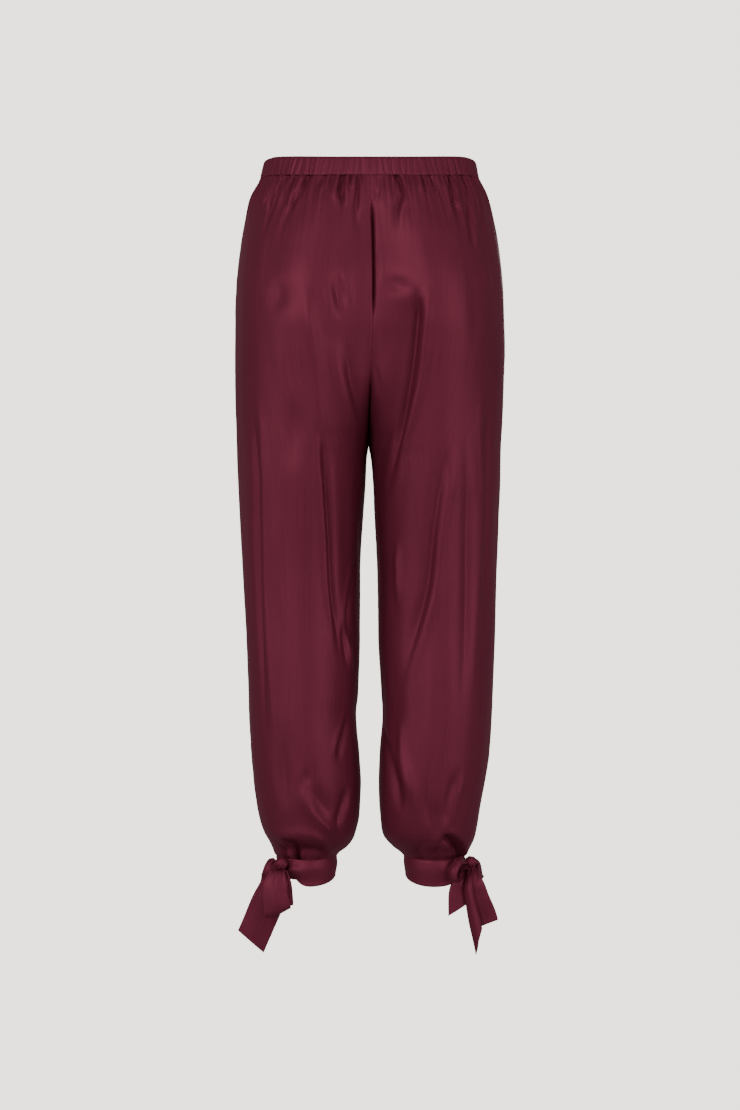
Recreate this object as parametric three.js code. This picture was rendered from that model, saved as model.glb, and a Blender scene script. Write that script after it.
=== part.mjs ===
// Balloon trousers in satin, filled out as if worn, with no wearer.
// Four leg panels are gathered into an elastic waistband at the top and into a cuff at each ankle. The cuff's ends run
// on into ties, knotted in a bow at the outer side of the ankle. Every piece is a thin closed wall of its own.
//
// Units are millimetres. +Z is up and the origin is the middle of the waistband's ring, where it holds the garment up.
// The back of the garment faces -Y. Left and right are the wearer's: left is -X.

import * as THREE from "three";

// ---- Driving dimensions ----

const CLOTH = 1.6; // wall of a leg panel
const BAND_WALL = 3.2; // casing and elastic
const CUFF_WALL = 2.4; // cuff, two layers and their turnings
const RIBBON = 1.5; // a tie: a tube of cloth pressed flat
const GAP = 0.3; // between pieces at a seam

const BAND_TOP = 4.8; // the waistband's upper edge, above the origin
const BAND_BOTTOM = -20.2;
const BAND_INSET = 1.8; // how far the elastic draws it in
const BAND_SAG = 6.5; // how far it dips at the centre back
const BAND_LEVEL = 50; // how far back from the side seams it is still level
const BAND_GATHERS = 104;
const PANEL_GATHERS = 21; // along the top of each panel
const GATHER_FADE = 62; // how far down the panel the gathers run

const CUFF_TOP = -955;
const CUFF_DEEP = 19.5; // the cuff's height at its inner and outer sides
const CUFF_DROP = 12.5; // how much lower its rounded edge hangs at the back and the front

// The garment's form, a row for each height. out* is the side seam's x, in* the x of the centre seam (above the crotch)
// or the inseam (below it), back and front the depth at the fullest point, apex where that point lies from the inner
// edge (0) to the side seam (1), seamB and seamF the depth of the centre seam, and side the side seam's y.
const FORM = table("z outL outR inL inR back front apex seamB seamF side", [
  [14, 146, 144.5, 0, 0, 106, 98, 0.2, 105.6, 97.6, 0],
  [-12, 150.5, 148, 0, 0, 109, 100, 0.2, 108.6, 99.6, 0],
  [-27, 155, 153, 0.2, 0.2, 112, 103, 0.24, 111, 102, 0],
  [-47, 163, 160, 0.8, 0.8, 116, 107, 0.28, 113, 106, 0],
  [-68, 168.5, 165.7, 2, 2, 121, 110, 0.32, 114, 108.5, 0],
  [-110, 178, 175, 3.5, 3.5, 131, 114, 0.38, 118, 111, 0],
  [-171, 185, 182, 4.5, 4.5, 141, 116, 0.43, 124, 112, 0],
  [-212, 186.3, 183.6, 4, 4, 142, 115, 0.45, 122, 110, 0],
  [-254, 186.3, 185, 3, 3, 136, 113, 0.46, 113, 106, 0],
  [-295, 186, 183.6, 1, 1, 128, 111, 0.47, 94, 95, 0],
  [-330, 185.5, 182.5, -1, -1, 122, 110, 0.48, 62, 70, 0],
  [-360, 184.5, 181, -2, -2, 118, 109, 0.49, 28, 38, 0],
  [-385, 183.5, 179.5, -2.5, -2.5, 115, 108, 0.5, -4, 4, 1],
  [-400, 183, 179, -5.5, 0.5, 113, 107, 0.5, -4, 4, 2],
  [-440, 181, 178, -8, 3.5, 109, 105, 0.5, -5, 5, 3],
  [-480, 179.4, 175.5, -10.5, 5, 104, 103, 0.5, -6, 6, 5],
  [-563, 175, 172.6, -14.5, 9, 96, 101, 0.5, -6, 6, 5],
  [-646, 171, 171, -14.5, 10.5, 93, 95, 0.5, -2, 2, 1],
  [-728, 168, 168, -17.5, 15.8, 93, 88, 0.5, 2, -2, -2],
  [-750, 167.5, 167, -20, 17, 93, 86, 0.5, 3, -3, -3],
  [-811, 164, 163, -16, 13, 92, 82, 0.5, 4, -4, -4],
  [-852, 160, 156.5, -13.5, 11.7, 90, 80, 0.5, 5, -5, -4],
  [-872, 157, 152.5, -14.4, 12, 88, 79, 0.5, 5, -5, -4],
  [-893, 153, 149, -16, 13.5, 84, 76, 0.5, 5, -5, -4],
  [-914, 146, 145, -20.5, 16.5, 77, 70, 0.5, 4, -4, -4],
  [-932, 136, 139, -30, 28, 66, 60, 0.5, 4, -4, -4],
  [-945, 131, 132.5, -41, 40, 55, 48, 0.5, 4, -4, -4],
  [-955, 128.5, 128.2, -46, 45.8, 49, 41, 0.5, 4, -4, -4],
  [-965, 128.5, 128.2, -46, 45.8, 49, 41, 0.5, 4, -4, -4],
]);

// Heights of a panel's rows below its gathers. They are closest at the crotch and at the ankle.
const ROWS = [
  -92, -122, -155, -192, -232, -272, -308, -338, -362, -382, -402, -435, -480, -535, -595, -655, -710, -755, -800,
  -840, -872, -896, -915, -930, -943,
];
const COLUMNS = { back: 18, front: 14 }; // across a panel
const GATHER_SAMPLES = 3; // points across one gather

// Largest folds, a row for each: it runs through three points (x, z), width is its half-width, and depth is how far
// the cloth sinks (or stands up, where it is negative).
const FOLDS = table("side face x0 z0 x1 z1 x2 z2 width depth", [
  ["left", "back", -86, -14, -105, -66, -121, -125, 7, 4],
  ["left", "back", -114, -14, -131, -63, -143, -118, 7, 4],
  ["left", "back", -40, -14, -37, -60, -39, -92, 7, 4],
  ["left", "back", -17, -14, -18, -60, -19, -112, 7, 4],
  ["left", "back", -124, -165, -121, -235, -112, -340, 20, 6],
  ["left", "back", -52, -178, -44, -250, -34, -365, 15, 8],
  ["left", "back", -79, -188, -73, -267, -66, -345, 12, -4],
  ["left", "back", -69, -345, -59, -503, -38, -676, 9, 5],
  ["left", "back", -156, -310, -149, -597, -138, -871, 9, -3],
  ["left", "back", -26, -560, -36, -640, -30, -720, 12, 5],
  ["left", "back", -92, -840, -82, -884, -44, -918, 11, -5],
  ["left", "back", -64, -830, -53, -872, -42, -905, 12, 6],
  ["left", "back", -107, -924, -103, -940, -100, -955, 9, 8],
  ["right", "back", 36, -14, 39, -55, 28, -130, 7, 4],
  ["right", "back", 84, -14, 88, -60, 92, -120, 7, 3],
  ["right", "back", 112, -14, 124, -70, 131, -140, 7, 4],
  ["right", "back", 54, -185, 35, -336, 18, -500, 15, 12],
  ["right", "back", 74, -190, 58, -336, 40, -500, 12, -4],
  ["right", "back", 92, -400, 70, -568, 42, -714, 12, 7],
  ["right", "back", 150, -300, 152, -500, 148, -760, 14, -3],
  ["right", "back", 22, -760, 40, -845, 60, -900, 14, 9],
  ["right", "back", 118, -905, 126, -930, 130, -955, 9, 9],
  ["left", "front", -38, -14, -42, -60, -44, -110, 7, 4],
  ["left", "front", -96, -14, -108, -70, -118, -130, 7, 4],
  ["left", "front", -22, -335, -58, -300, -104, -292, 12, 4],
  ["left", "front", -104, -190, -102, -400, -92, -620, 18, 6],
  ["left", "front", -58, -380, -56, -560, -66, -740, 14, 5],
  ["left", "front", -60, -850, -74, -890, -84, -940, 12, 6],
  ["right", "front", 44, -14, 46, -60, 42, -115, 7, 4],
  ["right", "front", 104, -14, 114, -70, 124, -135, 7, 4],
  ["right", "front", 22, -340, 56, -306, 100, -304, 12, 4],
  ["right", "front", 100, -200, 98, -420, 90, -640, 18, 6],
  ["right", "front", 54, -400, 52, -600, 62, -760, 14, 5],
  ["right", "front", 58, -860, 74, -900, 88, -942, 12, 6],
]);

// Each ankle's knot is tied at an angle on the cuff, from the outer side (0) to the back (90), and stands out from it.
const KNOTS = {
  left: { angle: 48, out: 9.25, z: -955, cuffX: -87.25 },
  right: { angle: 12, out: 9.75, z: -957, cuffX: 87 },
};
const KNOT_SIZE = [9, 8, 9.5]; // its half-sizes
const CUFF_Y = -4;
const CUFF_HALF = { x: 41.5, y: 45.3 };

// The ties. Each leaves its knot in the direction "from", and a loop comes back to it at "to". Between them it runs
// through a row for each point: x, y, z of its middle, its width there and the direction across it. startAcross is
// that direction at the knot, pleat folds the tie lengthwise, and skew is the share of its length that its slanting
// end takes off.
const TIE_ROOT_WIDTH = 8;
const TIES = {
  loop_left_a: {
    skew: 0, pleat: 2, from: [-0.25, -0.45, -0.86], to: [-0.28, -0.1, -0.94], startAcross: [1, 0, 0],
    line: table("x y z width ax ay az", [
      [-131, -61, -985, 30, 1, 0, 0.05],
      [-131, -64, -1010, 38, 1, 0, 0.1],
      [-129, -63, -1026, 38, 1, 0, 0.2],
      [-128, -56, -1030, 37, 1, 0, 0.22],
      [-128, -50.5, -1018, 36, 1, 0, 0.15],
      [-128, -49, -995, 28, 1, 0, 0.05],
    ]),
  },
  loop_left_b: {
    skew: 0, pleat: 2, from: [-0.7, 0.72, -0.1], to: [-0.4, 0.62, -0.7], startAcross: [0.45, 0.9, 0],
    line: table("x y z width ax ay az", [
      [-138, -21, -971, 18, 0.2, 1, 0],
      [-141, -14, -994, 26, 0.1, 1, 0],
      [-139, -12, -1010, 28, 0.1, 1, 0],
      [-134, -12, -1008, 28, 0.1, 1, 0],
      [-132.5, -15, -992, 24, 0.1, 1, 0],
      [-132, -24, -972, 13, 0.3, 1, 0],
    ]),
  },
  tail_left_a: {
    skew: 0.13, pleat: 3, from: [-0.93, 0.02, -0.36], startAcross: [0.2, 0.1, -1],
    line: table("x y z width ax ay az", [
      [-136.5, -40, -965, 19, 0.8, 0, -0.6],
      [-133, -34.8, -982, 37, 0.91, 0, -0.42],
      [-141, -35.5, -1010, 44.5, 0.91, 0, -0.42],
      [-154.8, -35, -1039.5, 44.5, 0.91, 0, -0.42],
      [-168.5, -34.5, -1071, 44.5, 0.91, 0, -0.42],
    ]),
  },
  tail_left_b: {
    skew: 0.16, pleat: 3, from: [0.3, 0.25, -0.92], startAcross: [1, 0.1, 0],
    line: table("x y z width ax ay az", [
      [-117, -42.9, -985, 18, 1, 0.1, 0],
      [-118, -41.5, -1000, 24, 1, 0.1, 0.1],
      [-117, -41.5, -1028, 28, 1, 0.1, 0.1],
    ]),
  },
  loop_right_a: {
    skew: 0, pleat: 2, from: [-0.55, -0.8, 0.2], to: [-0.5, -0.7, -0.5], startAcross: [0.4, -0.5, 0.75],
    line: table("x y z width ax ay az", [
      [122, -46, -954, 20, 0.4, -0.75, 0.5],
      [110, -59, -968, 26, 0.2, -0.9, 0.3],
      [108.5, -60, -980, 27, 0, -1, 0.1],
      [114, -58, -985, 26, 0, -1, 0],
      [121, -48, -971, 18, 0.2, -0.9, 0.1],
    ]),
  },
  loop_right_b: {
    skew: 0, pleat: 2, from: [0.8, 0.58, 0.1], to: [0.65, 0.65, -0.4], startAcross: [0, 1, 0.3],
    line: table("x y z width ax ay az", [
      [151.5, -4, -954, 18, 0, 1, 0.2],
      [155, 1, -965, 26, 0, 1, 0.1],
      [154.6, 2, -978, 27, 0, 1, 0],
      [149.8, 2, -979, 26, 0, 1, 0],
      [147.6, -2, -968, 17, 0, 1, 0],
    ]),
  },
  tail_right_a: {
    skew: 0.22, pleat: 3, from: [-0.1, -0.35, -0.93], startAcross: [1, 0.3, 0],
    line: table("x y z width ax ay az", [
      [128, -27, -984, 20, 1, 0.1, 0],
      [121, -32.5, -1002, 28, 1, 0.1, 0],
      [120, -36, -1034, 32, 1, 0.05, 0],
    ]),
  },
  tail_right_b: {
    skew: 0.34, pleat: -8, from: [0.2, -0.75, -0.63], startAcross: [-1, 0, 0],
    line: table("x y z width ax ay az", [
      [144.5, -36, -984, 25, -1, 0, 0],
      [149, -38, -1010, 35, -1, 0, 0],
      [156, -37, -1040, 38, -1, 0, 0],
      [163, -36, -1083, 34, -1, 0, 0],
    ]),
  },
};
const TIE_STEPS = { loop: 16, tail: 9 };
const TIE_COLUMNS = 4;

const SATIN = { color: 0x5e2233, roughness: 0.5, metalness: 0, side: THREE.DoubleSide };

// ---- Small helpers ----

function table(names, rows) {
  const keys = names.split(" ");
  return rows.map((row) => Object.fromEntries(keys.map((key, i) => [key, row[i]])));
}

function clamp01(t) {
  return Math.min(1, Math.max(0, t));
}

function ease(from, to, t) {
  const u = clamp01((t - from) / (to - from));
  return u * u * (3 - 2 * u);
}

// Slope of a column of FORM at row i, so that the curve through the rows never overshoots them.
function slope(key, i) {
  if (i === 0 || i === FORM.length - 1) return 0;
  const before = (FORM[i][key] - FORM[i - 1][key]) / (FORM[i].z - FORM[i - 1].z);
  const after = (FORM[i + 1][key] - FORM[i][key]) / (FORM[i + 1].z - FORM[i].z);
  return before * after <= 0 ? 0 : (2 * before * after) / (before + after);
}

// The form at any height: cubic curves through the rows of FORM.
function formAt(z) {
  let i = 0;
  while (i < FORM.length - 2 && z < FORM[i + 1].z) i += 1;
  const step = FORM[i + 1].z - FORM[i].z;
  const t = clamp01((z - FORM[i].z) / step);
  const at = {};
  for (const key of Object.keys(FORM[0])) {
    const a = FORM[i][key];
    const b = FORM[i + 1][key];
    const ma = slope(key, i) * step;
    const mb = slope(key, i + 1) * step;
    at[key] =
      a * (1 + 2 * t) * (1 - t) ** 2 + ma * t * (1 - t) ** 2 + b * t * t * (3 - 2 * t) - mb * t * t * (1 - t);
  }
  return at;
}

// ---- The surface of a panel ----

const QUARTER = 40; // points on each quarter of a section

// One panel's section at a height, from the side seam round to the inner edge, as points and lengths along them.
function section(side, face, z) {
  const f = formAt(z);
  const outer = side === "left" ? -f.outL : f.outR;
  const inner = side === "left" ? f.inL - GAP / 2 : f.inR + GAP / 2;
  const fullX = inner + (outer - inner) * f.apex;
  const fullY = face === "back" ? -f.back : f.front;
  const endY = face === "back" ? -f.seamB : f.seamF;
  const line = [];
  for (let i = 0; i <= QUARTER; i += 1) {
    const angle = (i / QUARTER) * (Math.PI / 2);
    line.push([fullX + (outer - fullX) * Math.cos(angle), f.side + (fullY - f.side) * Math.sin(angle)]);
  }
  for (let i = 1; i <= QUARTER; i += 1) {
    const angle = (i / QUARTER) * (Math.PI / 2);
    line.push([fullX + (inner - fullX) * Math.sin(angle), endY + (fullY - endY) * Math.cos(angle)]);
  }
  const along = [0];
  for (let i = 1; i < line.length; i += 1) {
    along.push(along[i - 1] + Math.hypot(line[i][0] - line[i - 1][0], line[i][1] - line[i - 1][1]));
  }
  return { line, along, length: along[along.length - 1] };
}

const known = new Map();
function sectionAt(side, face, z) {
  const key = `${side} ${face} ${z.toFixed(3)}`;
  if (!known.has(key)) known.set(key, section(side, face, z));
  return known.get(key);
}

// The point at share s of a section, trimmed by half a gap at each end.
function onSection(side, face, s, z) {
  const { line, along, length } = sectionAt(side, face, z);
  const at = GAP / 2 + s * (length - GAP);
  let i = 1;
  while (i < along.length - 1 && along[i] < at) i += 1;
  const t = (at - along[i - 1]) / (along[i] - along[i - 1]);
  return new THREE.Vector3(
    line[i - 1][0] + t * (line[i][0] - line[i - 1][0]),
    line[i - 1][1] + t * (line[i][1] - line[i - 1][1]),
    z,
  );
}

// The level direction that points out of the panel.
function outward(side, face, s, z) {
  const step = 0.004;
  const along = onSection(side, face, Math.min(1, s + step), z).sub(onSection(side, face, Math.max(0, s - step), z));
  const turned = (side === "left") === (face === "back") ? 1 : -1;
  return new THREE.Vector3(along.y, -along.x, 0).normalize().multiplyScalar(turned);
}

// How far along a section, from the side seam, it has a given x.
function lengthAtX(side, face, x, z) {
  const { line, along } = sectionAt(side, face, z);
  for (let i = 1; i < line.length; i += 1) {
    if ((line[i][0] - x) * (line[0][0] - x) <= 0) return along[i];
  }
  return along[along.length - 1];
}

// A fold's line laid out flat, as (length along the section, height).
function flatLine(fold) {
  const ends = [0, 1, 2].map((i) => {
    const z = fold["z" + i];
    return new THREE.Vector3(lengthAtX(fold.side, fold.face, fold["x" + i], z), z, 0);
  });
  return new THREE.CatmullRomCurve3(ends).getPoints(12);
}

const FOLD_LINES = FOLDS.map((fold) => ({ ...fold, flat: flatLine(fold) }));
const WAIST_FOLD_Z = -20; // a fold that starts above this runs into the waist seam at full depth
const EDGE_FADE = 10; // folds die out this near a panel's edge

// How far the largest folds move the cloth in at a point of a panel.
function foldDepth(side, face, s, z) {
  const length = sectionAt(side, face, z).length;
  const here = new THREE.Vector3(s * length, z, 0);
  let depth = 0;
  for (const fold of FOLD_LINES) {
    if (fold.side !== side || fold.face !== face) continue;
    let nearest = Infinity;
    let share = 0;
    for (let i = 1; i < fold.flat.length; i += 1) {
      const part = new THREE.Line3(fold.flat[i - 1], fold.flat[i]);
      const t = part.closestPointToPointParameter(here, true);
      const far = part.at(t, new THREE.Vector3()).distanceTo(here);
      if (far < nearest) {
        nearest = far;
        share = (i - 1 + t) / (fold.flat.length - 1);
      }
    }
    const starts = fold.z0 > WAIST_FOLD_Z ? 1 : ease(0, 0.25, share);
    depth += fold.depth * Math.exp(-((nearest / fold.width) ** 2)) * starts * ease(1, 0.6, share);
  }
  return depth * ease(0, EDGE_FADE, s * length) * ease(0, EDGE_FADE, (1 - s) * length);
}

// Uneven heights of the gathers, from 0.6 to 1.
function uneven(i) {
  return 0.8 + 0.12 * Math.sin(i * 2.4) + 0.08 * Math.sin(i * 5.3 + 1);
}

// How far the gathers at the waist stand out of a panel.
function gatherHeight(s, z) {
  const at = s * PANEL_GATHERS;
  const wave = Math.sin(Math.PI * (at - Math.floor(at)));
  const reach = GATHER_FADE * uneven(Math.floor(at) + 7);
  return 2.4 * uneven(Math.floor(at)) * wave * ease(-reach, BAND_BOTTOM, z);
}

// The elastic draws the panels in along the waist seam.
function drawnIn(z) {
  return BAND_INSET * ease(-55, BAND_BOTTOM, z);
}

// The waist seam dips towards the centre back, and the rows below it follow less and less.
function dipped(z, y, face) {
  const back = face === "back" ? clamp01((Math.abs(y) - BAND_LEVEL) / (106 - BAND_LEVEL)) : 0;
  return z - BAND_SAG * back ** 1.4 * ease(-95, BAND_BOTTOM, z);
}

// ---- Closed walls from rows of points ----

class Wall {
  constructor() {
    this.vertices = [];
    this.faces = [];
  }

  row(list) {
    return list.map((p) => this.vertices.push(p) - 1);
  }

  // Triangles between two rows that may have different numbers of points.
  strip(a, b, closed = false) {
    const ends = closed ? [a.length, b.length] : [a.length - 1, b.length - 1];
    let i = 0;
    let j = 0;
    while (i < ends[0] || j < ends[1]) {
      const a0 = a[i % a.length];
      const b0 = b[j % b.length];
      if (j >= ends[1] || (i < ends[0] && (i + 1) / ends[0] <= (j + 1) / ends[1] + 1e-9)) {
        i += 1;
        this.faces.push([a0, b0, a[i % a.length]]);
      } else {
        j += 1;
        this.faces.push([a0, b0, b[j % b.length]]);
      }
    }
  }

  // Closes rows of outer points and rows of inner points into one solid.
  static between(outerRows, innerRows, closed = false) {
    const wall = new Wall();
    const outer = outerRows.map((row) => wall.row(row));
    const inner = innerRows.map((row) => wall.row(row));
    for (let r = 1; r < outer.length; r += 1) wall.strip(outer[r - 1], outer[r], closed);
    for (let r = 1; r < inner.length; r += 1) wall.strip(inner[r], inner[r - 1], closed);
    wall.strip(inner[0], outer[0], closed);
    wall.strip(outer[outer.length - 1], inner[inner.length - 1], closed);
    if (!closed) {
      const first = (row) => row[0];
      const last = (row) => row[row.length - 1];
      wall.strip(outer.map(first), inner.map(first));
      wall.strip(inner.map(last), outer.map(last));
    }
    return wall.geometry();
  }

  geometry() {
    const v = this.vertices;
    let volume = 0;
    for (const [a, b, c] of this.faces) volume += v[a].dot(v[b].clone().cross(v[c]));
    const faces = volume < 0 ? this.faces.map(([a, b, c]) => [a, c, b]) : this.faces;
    const geometry = new THREE.BufferGeometry().setFromPoints(v);
    geometry.setIndex(faces.flat());
    geometry.computeVertexNormals();
    return geometry;
  }
}

function named(name, geometry) {
  const mesh = new THREE.Mesh(geometry, new THREE.MeshStandardMaterial(SATIN));
  mesh.name = name;
  return mesh;
}

function shares(count) {
  return Array.from({ length: count + 1 }, (_, i) => i / count);
}

// ---- Leg panels: from the waist seam to the cuff, and from the side seam to the centre seam and inseam ----

function panel(side, face) {
  const fine = shares(PANEL_GATHERS * GATHER_SAMPLES);
  const coarse = shares(COLUMNS[face]);
  const top = BAND_BOTTOM - GAP;
  const gathered = [top, top - 8, top - 18, top - 32].map((z) => ({ z, outer: fine, inner: coarse }));
  const plain = [-66, ...ROWS, CUFF_TOP + GAP].map((z) => ({ z, outer: coarse, inner: coarse }));

  const place = (s, z, raised) => {
    const level = dipped(z, onSection(side, face, s, z).y, face);
    const sunk = drawnIn(level) + foldDepth(side, face, s, level);
    const move = (raised ? gatherHeight(s, level) : -CLOTH) - sunk;
    return onSection(side, face, s, level).addScaledVector(outward(side, face, s, level), move);
  };
  const rows = [...gathered, ...plain];
  const outer = rows.map(({ z, outer: row }) => row.map((s) => place(s, z, true)));
  const inner = rows.map(({ z, inner: row }) => row.map((s) => place(s, z, false)));
  return named(`${face}_${side}`, Wall.between(outer, inner));
}

// ---- Waistband: an elastic casing, gathered all round ----

// The waist ring, once round: along the left back, the right back, the right front and the left front.
const RING = [
  ["left", "back", false],
  ["right", "back", true],
  ["right", "front", false],
  ["left", "front", true],
];

function ringPoint(turn, z, out) {
  const quarter = Math.floor(turn * 4) % 4;
  const share = turn * 4 - Math.floor(turn * 4);
  const [side, face, reversed] = RING[quarter];
  const s = reversed ? 1 - share : share;
  const level = dipped(z, onSection(side, face, s, z).y, face);
  const move = out - BAND_INSET;
  return onSection(side, face, s, z).addScaledVector(outward(side, face, s, z), move).setZ(level);
}

function waistband() {
  const columns = BAND_GATHERS * 4;
  const turns = Array.from({ length: columns }, (_, i) => i / columns);
  const plain = Array.from({ length: BAND_GATHERS }, (_, i) => i / BAND_GATHERS);
  const height = (turn) => {
    const at = turn * BAND_GATHERS;
    return 1.5 * uneven(Math.floor(at + 0.001) + 3) * Math.sin(Math.PI * (at - Math.floor(at + 0.001)));
  };
  const row = (z, base, share) => turns.map((turn) => ringPoint(turn, z, base + share * height(turn)));
  const outer = [
    row(BAND_BOTTOM, 0.2, 1),
    row((BAND_TOP + BAND_BOTTOM) / 2, 0.9, 1),
    row(BAND_TOP - 1.5, 0.4, 1),
    row(BAND_TOP, -0.6, 0.6),
  ];
  const inner = [BAND_BOTTOM, BAND_TOP].map((z) => plain.map((turn) => ringPoint(turn, z, -BAND_WALL)));
  return named("waistband", Wall.between(outer, inner, true));
}

// ---- Cuffs: bands drawn up to the knot, with a rounded lower edge ----

function cuff(side) {
  const knot = KNOTS[side];
  const away = side === "left" ? -1 : 1;
  const around = Array.from({ length: 44 }, (_, i) => (i / 44) * 2 * Math.PI);
  const place = (angle, down, wall) => {
    const fromKnot = Math.atan2(Math.sin(angle - THREE.MathUtils.degToRad(knot.angle)), Math.cos(angle - THREE.MathUtils.degToRad(knot.angle)));
    const drawn = Math.exp(-((fromKnot / 0.42) ** 2));
    const low = CUFF_TOP - CUFF_DEEP - CUFF_DROP * Math.abs(Math.sin(angle)) * (1 - drawn) + 5 * drawn;
    const taper = 1 - 0.05 * ease(0.3, 1, down);
    const crease = 1.2 * drawn * Math.sin(down * 9);
    const radius = (half) => half * taper + wall + crease;
    return new THREE.Vector3(
      knot.cuffX + away * radius(CUFF_HALF.x) * Math.cos(angle),
      CUFF_Y - radius(CUFF_HALF.y) * Math.sin(angle),
      CUFF_TOP + (low - CUFF_TOP) * down,
    );
  };
  const levels = [0, 0.3, 0.55, 0.8, 1];
  const outer = levels.map((down) => around.map((angle) => place(angle, down, 0)));
  const inner = levels.map((down) => around.map((angle) => place(angle, down, -CUFF_WALL)));
  return named(`cuff_${side}`, Wall.between(outer, inner, true));
}

// ---- Bows: a knot, two loops and two tails at each ankle ----

function knotMiddle(side) {
  const { angle, out, z, cuffX } = KNOTS[side];
  const turn = THREE.MathUtils.degToRad(angle);
  const away = side === "left" ? -1 : 1;
  return new THREE.Vector3(
    cuffX + away * (CUFF_HALF.x + out) * Math.cos(turn),
    CUFF_Y - (CUFF_HALF.y + out) * Math.sin(turn),
    z,
  );
}

// The knot's surface in a direction from its middle: an egg shape with the ridges of the wound tie.
function onKnot(side, direction, clearance = 0) {
  const u = direction.clone().normalize();
  const round = 1 / Math.hypot(u.x / KNOT_SIZE[0], u.y / KNOT_SIZE[1], u.z / KNOT_SIZE[2]);
  const ridges = 1 + 0.05 * Math.hypot(u.x, u.y) * Math.cos(3 * Math.atan2(u.y, u.x) + 2.2 * Math.acos(u.z));
  return knotMiddle(side).addScaledVector(u, round * ridges + clearance);
}

function knotOf(side) {
  const rings = 8;
  const sides = 14;
  const wall = new Wall();
  const poles = [-1, 1].map((end) => wall.row([onKnot(side, new THREE.Vector3(0, 0, end))])[0]);
  const rows = shares(rings)
    .slice(1, -1)
    .map((share) =>
      wall.row(
        Array.from({ length: sides }, (_, i) => {
          const turn = (i / sides) * 2 * Math.PI;
          const level = new THREE.Vector3(Math.cos(turn), Math.sin(turn), 0).multiplyScalar(Math.sin(share * Math.PI));
          return onKnot(side, level.setZ(-Math.cos(share * Math.PI)));
        }),
      ),
    );
  for (let r = 1; r < rows.length; r += 1) wall.strip(rows[r - 1], rows[r], true);
  const top = rows[rows.length - 1];
  for (let i = 0; i < sides; i += 1) {
    const next = (i + 1) % sides;
    wall.faces.push([poles[0], rows[0][i], rows[0][next]], [poles[1], top[next], top[i]]);
  }
  return named(`knot_${side}`, wall.geometry());
}

const ROOT_CLEARANCE = 0.3; // a tie starts this far off the knot's ridges
const ROOT_LEAD = 5; // and runs straight out from it this far

function tie(name) {
  const { line, pleat, skew, from, to, startAcross } = TIES[name];
  const side = name.includes("left") ? "left" : "right";
  const root = (direction) =>
    [0, ROOT_LEAD].map((lead) => onKnot(side, new THREE.Vector3(...direction), ROOT_CLEARANCE + lead));
  const along = (ofRoot, ofRow) => [ofRoot, ofRoot, ...line.map(ofRow), ...(to ? [ofRoot, ofRoot] : [])];
  const centres = [
    ...root(from),
    ...line.map((p) => new THREE.Vector3(p.x, p.y, p.z)),
    ...(to ? root(to).reverse() : []),
  ];
  const middle = new THREE.CatmullRomCurve3(centres, false, "centripetal");
  const across = new THREE.CatmullRomCurve3(
    along(startAcross, (p) => [p.ax, p.ay, p.az]).map((d) => new THREE.Vector3(...d).normalize()),
  );
  const widths = new THREE.CatmullRomCurve3(
    along(TIE_ROOT_WIDTH, (p) => p.width).map((width) => new THREE.Vector3(width, 0, 0)),
  );
  const steps = to ? TIE_STEPS.loop : TIE_STEPS.tail;

  const at = (u, v) => {
    const t = middle.getUtoTmapping(u * (1 - (skew * (1 - v)) / 2));
    const tangent = middle.getTangent(t);
    const normal = tangent.clone().cross(across.getPoint(t)).normalize();
    const opened = to ? Math.sin(Math.PI * u) : ease(0, 0.5, u);
    return middle
      .getPoint(t)
      .addScaledVector(normal.clone().cross(tangent), (v * widths.getPoint(t).x) / 2)
      .addScaledVector(normal, pleat * opened * Math.cos((v * Math.PI) / 2));
  };
  const normalAt = (u, v) => {
    const ahead = at(Math.min(1, u + 0.01), v).sub(at(Math.max(0, u - 0.01), v));
    const over = at(u, Math.min(1, v + 0.02)).sub(at(u, Math.max(-1, v - 0.02)));
    return ahead.cross(over).normalize();
  };
  const shell = (offset) =>
    shares(steps).map((u) =>
      shares(TIE_COLUMNS).map((share) => at(u, 2 * share - 1).addScaledVector(normalAt(u, 2 * share - 1), offset)),
    );
  return named(name, Wall.between(shell(RIBBON / 2), shell(-RIBBON / 2)));
}

// ---- The garment ----

const trousers = new THREE.Group();
trousers.name = "balloon_trousers";
trousers.add(waistband());
for (const side of ["left", "right"]) {
  trousers.add(panel(side, "back"), panel(side, "front"), cuff(side), knotOf(side));
}
for (const name of Object.keys(TIES)) trousers.add(tie(name));

export default trousers;
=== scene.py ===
# Balloon trousers in wine-red satin: the sewn cloth, its folds, gathers, stitches and tied bows.
import math

import bpy
import numpy as np
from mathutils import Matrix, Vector


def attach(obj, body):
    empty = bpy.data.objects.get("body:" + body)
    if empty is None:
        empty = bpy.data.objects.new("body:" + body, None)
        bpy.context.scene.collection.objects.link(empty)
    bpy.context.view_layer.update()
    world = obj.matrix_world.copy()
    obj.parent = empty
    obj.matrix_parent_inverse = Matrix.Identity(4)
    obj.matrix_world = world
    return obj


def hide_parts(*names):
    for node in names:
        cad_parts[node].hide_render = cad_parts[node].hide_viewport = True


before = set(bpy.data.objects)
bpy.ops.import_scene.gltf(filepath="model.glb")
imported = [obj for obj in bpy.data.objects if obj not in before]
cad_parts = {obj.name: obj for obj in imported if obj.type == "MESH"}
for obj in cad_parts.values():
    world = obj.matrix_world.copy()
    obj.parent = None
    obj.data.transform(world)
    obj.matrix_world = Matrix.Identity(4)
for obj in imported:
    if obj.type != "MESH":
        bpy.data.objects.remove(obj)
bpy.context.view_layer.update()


# ------------------------------------------------------------
# Studio: a round room of pale paper with a flat floor, which the camera sees and which throws no light of its
# own on the cloth. Six soft boxes light it: a key and a fill beside the camera, one in front, one at each
# side and one behind, with a dim even glow all round.

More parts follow.
